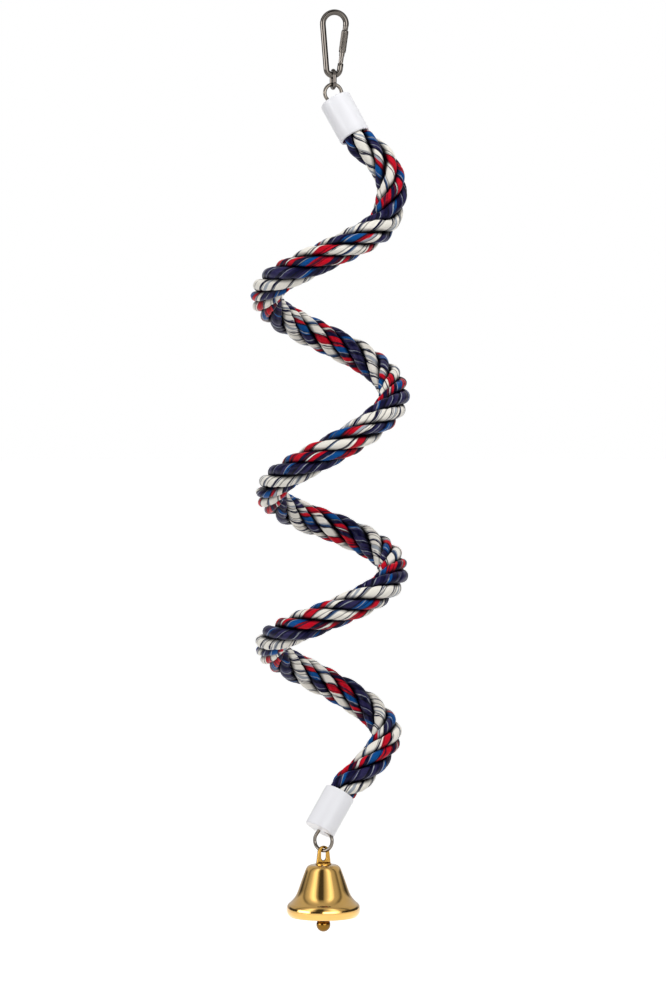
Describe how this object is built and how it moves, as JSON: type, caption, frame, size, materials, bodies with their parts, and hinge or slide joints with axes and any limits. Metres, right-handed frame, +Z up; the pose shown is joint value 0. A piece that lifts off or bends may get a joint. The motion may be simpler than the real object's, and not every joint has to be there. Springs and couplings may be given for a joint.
{
  "type": "bird perch",
  "caption": "Hanging spiral perch: a coil of wire-cored twisted rope with end caps, a snap hook with a lock sleeve above and a brass bell with a clapper below",
  "frame": {"origin": "the highest point inside the hook's bow, where a hanger bears", "axes": "+Z up, +X to the right of the front view, -Y towards the viewer; millimetres in the source, metres here"},
  "size_m": [0.0707, 0.0825, 0.411],
  "materials": {
    "hook_steel": "smoky nickel plate, glossy",
    "small_steel": "bright spring steel",
    "eye_steel": "nickel-plated wire",
    "cap_plastic": "plain white, satin",
    "rope_cotton": "strands in cream, navy, blue and red",
    "core_steel": "plain wire",
    "bell_brass": "polished, lacquered",
    "clapper_brass": "darker, polished"
  },
  "bodies": {
    "carabiner": {"carabiner_body": "hook_steel", "gate_rivet": "small_steel"},
    "gate": {"carabiner_gate": "hook_steel", "gate_plunger": "small_steel", "gate_spring": "small_steel"},
    "sleeve": {"lock_sleeve": "hook_steel"},
    "link": {"top_link": "hook_steel"},
    "perch": {"top_eye": "eye_steel", "top_crimp": "core_steel", "top_cap": "cap_plastic", "perch_rope": "rope_cotton", "core_wire": "core_steel"},
    "lower_end": {"bottom_cap": "cap_plastic", "bottom_crimp": "core_steel", "bottom_eye": "eye_steel"},
    "bell": {"bell_lug": "bell_brass", "lug_washer": "bell_brass", "bell_shell": "bell_brass", "clapper_hanger": "bell_brass"},
    "clapper": {"clapper_wire": "bell_brass", "clapper_ball": "clapper_brass"}
  },
  "joints": [
    {"name": "gate_hinge", "type": "hinge", "parent": "carabiner", "child": "gate", "pos_m": [0.00299, 0, -0.02004], "axis": [0, -1, 0], "range_deg": [0, 20], "stiffness_Nm_per_rad": 0.002, "springref_deg": -11.46},
    {"name": "sleeve_slide", "type": "slide", "parent": "gate", "child": "sleeve", "axis": [0.135, 0, 0.9909], "range_m": [0, 0.0014]},
    {"name": "link_swing", "type": "hinge", "parent": "carabiner", "child": "link", "pos_m": [-0.00056, 0, -0.02689], "axis": [1, 0, 0], "range_deg": [-35, 35]},
    {"name": "perch_swing", "type": "hinge", "parent": "link", "child": "perch", "pos_m": [-0.00056, 0, -0.03254], "axis": [-0.2924, 0.9563, 0], "range_deg": [-30, 30]},
    {"name": "coil_stretch", "type": "slide", "parent": "perch", "child": "lower_end", "axis": [0, 0, -1], "range_m": [-0.006, 0.03], "stiffness_N_per_m": 120, "springref_m": -0.002, "deforming": ["perch_rope", "core_wire"]},
    {"name": "bell_swing", "type": "hinge", "parent": "lower_end", "child": "bell", "pos_m": [-0.00491, -0.00937, -0.37228], "axis": [0.866, -0.5, 0], "range_deg": [-35, 35]},
    {"name": "clapper_swing", "type": "hinge", "parent": "bell", "child": "clapper", "pos_m": [-0.00491, -0.00937, -0.38398], "axis": [0, 1, 0], "range_deg": [-26, 26]}
  ]
}
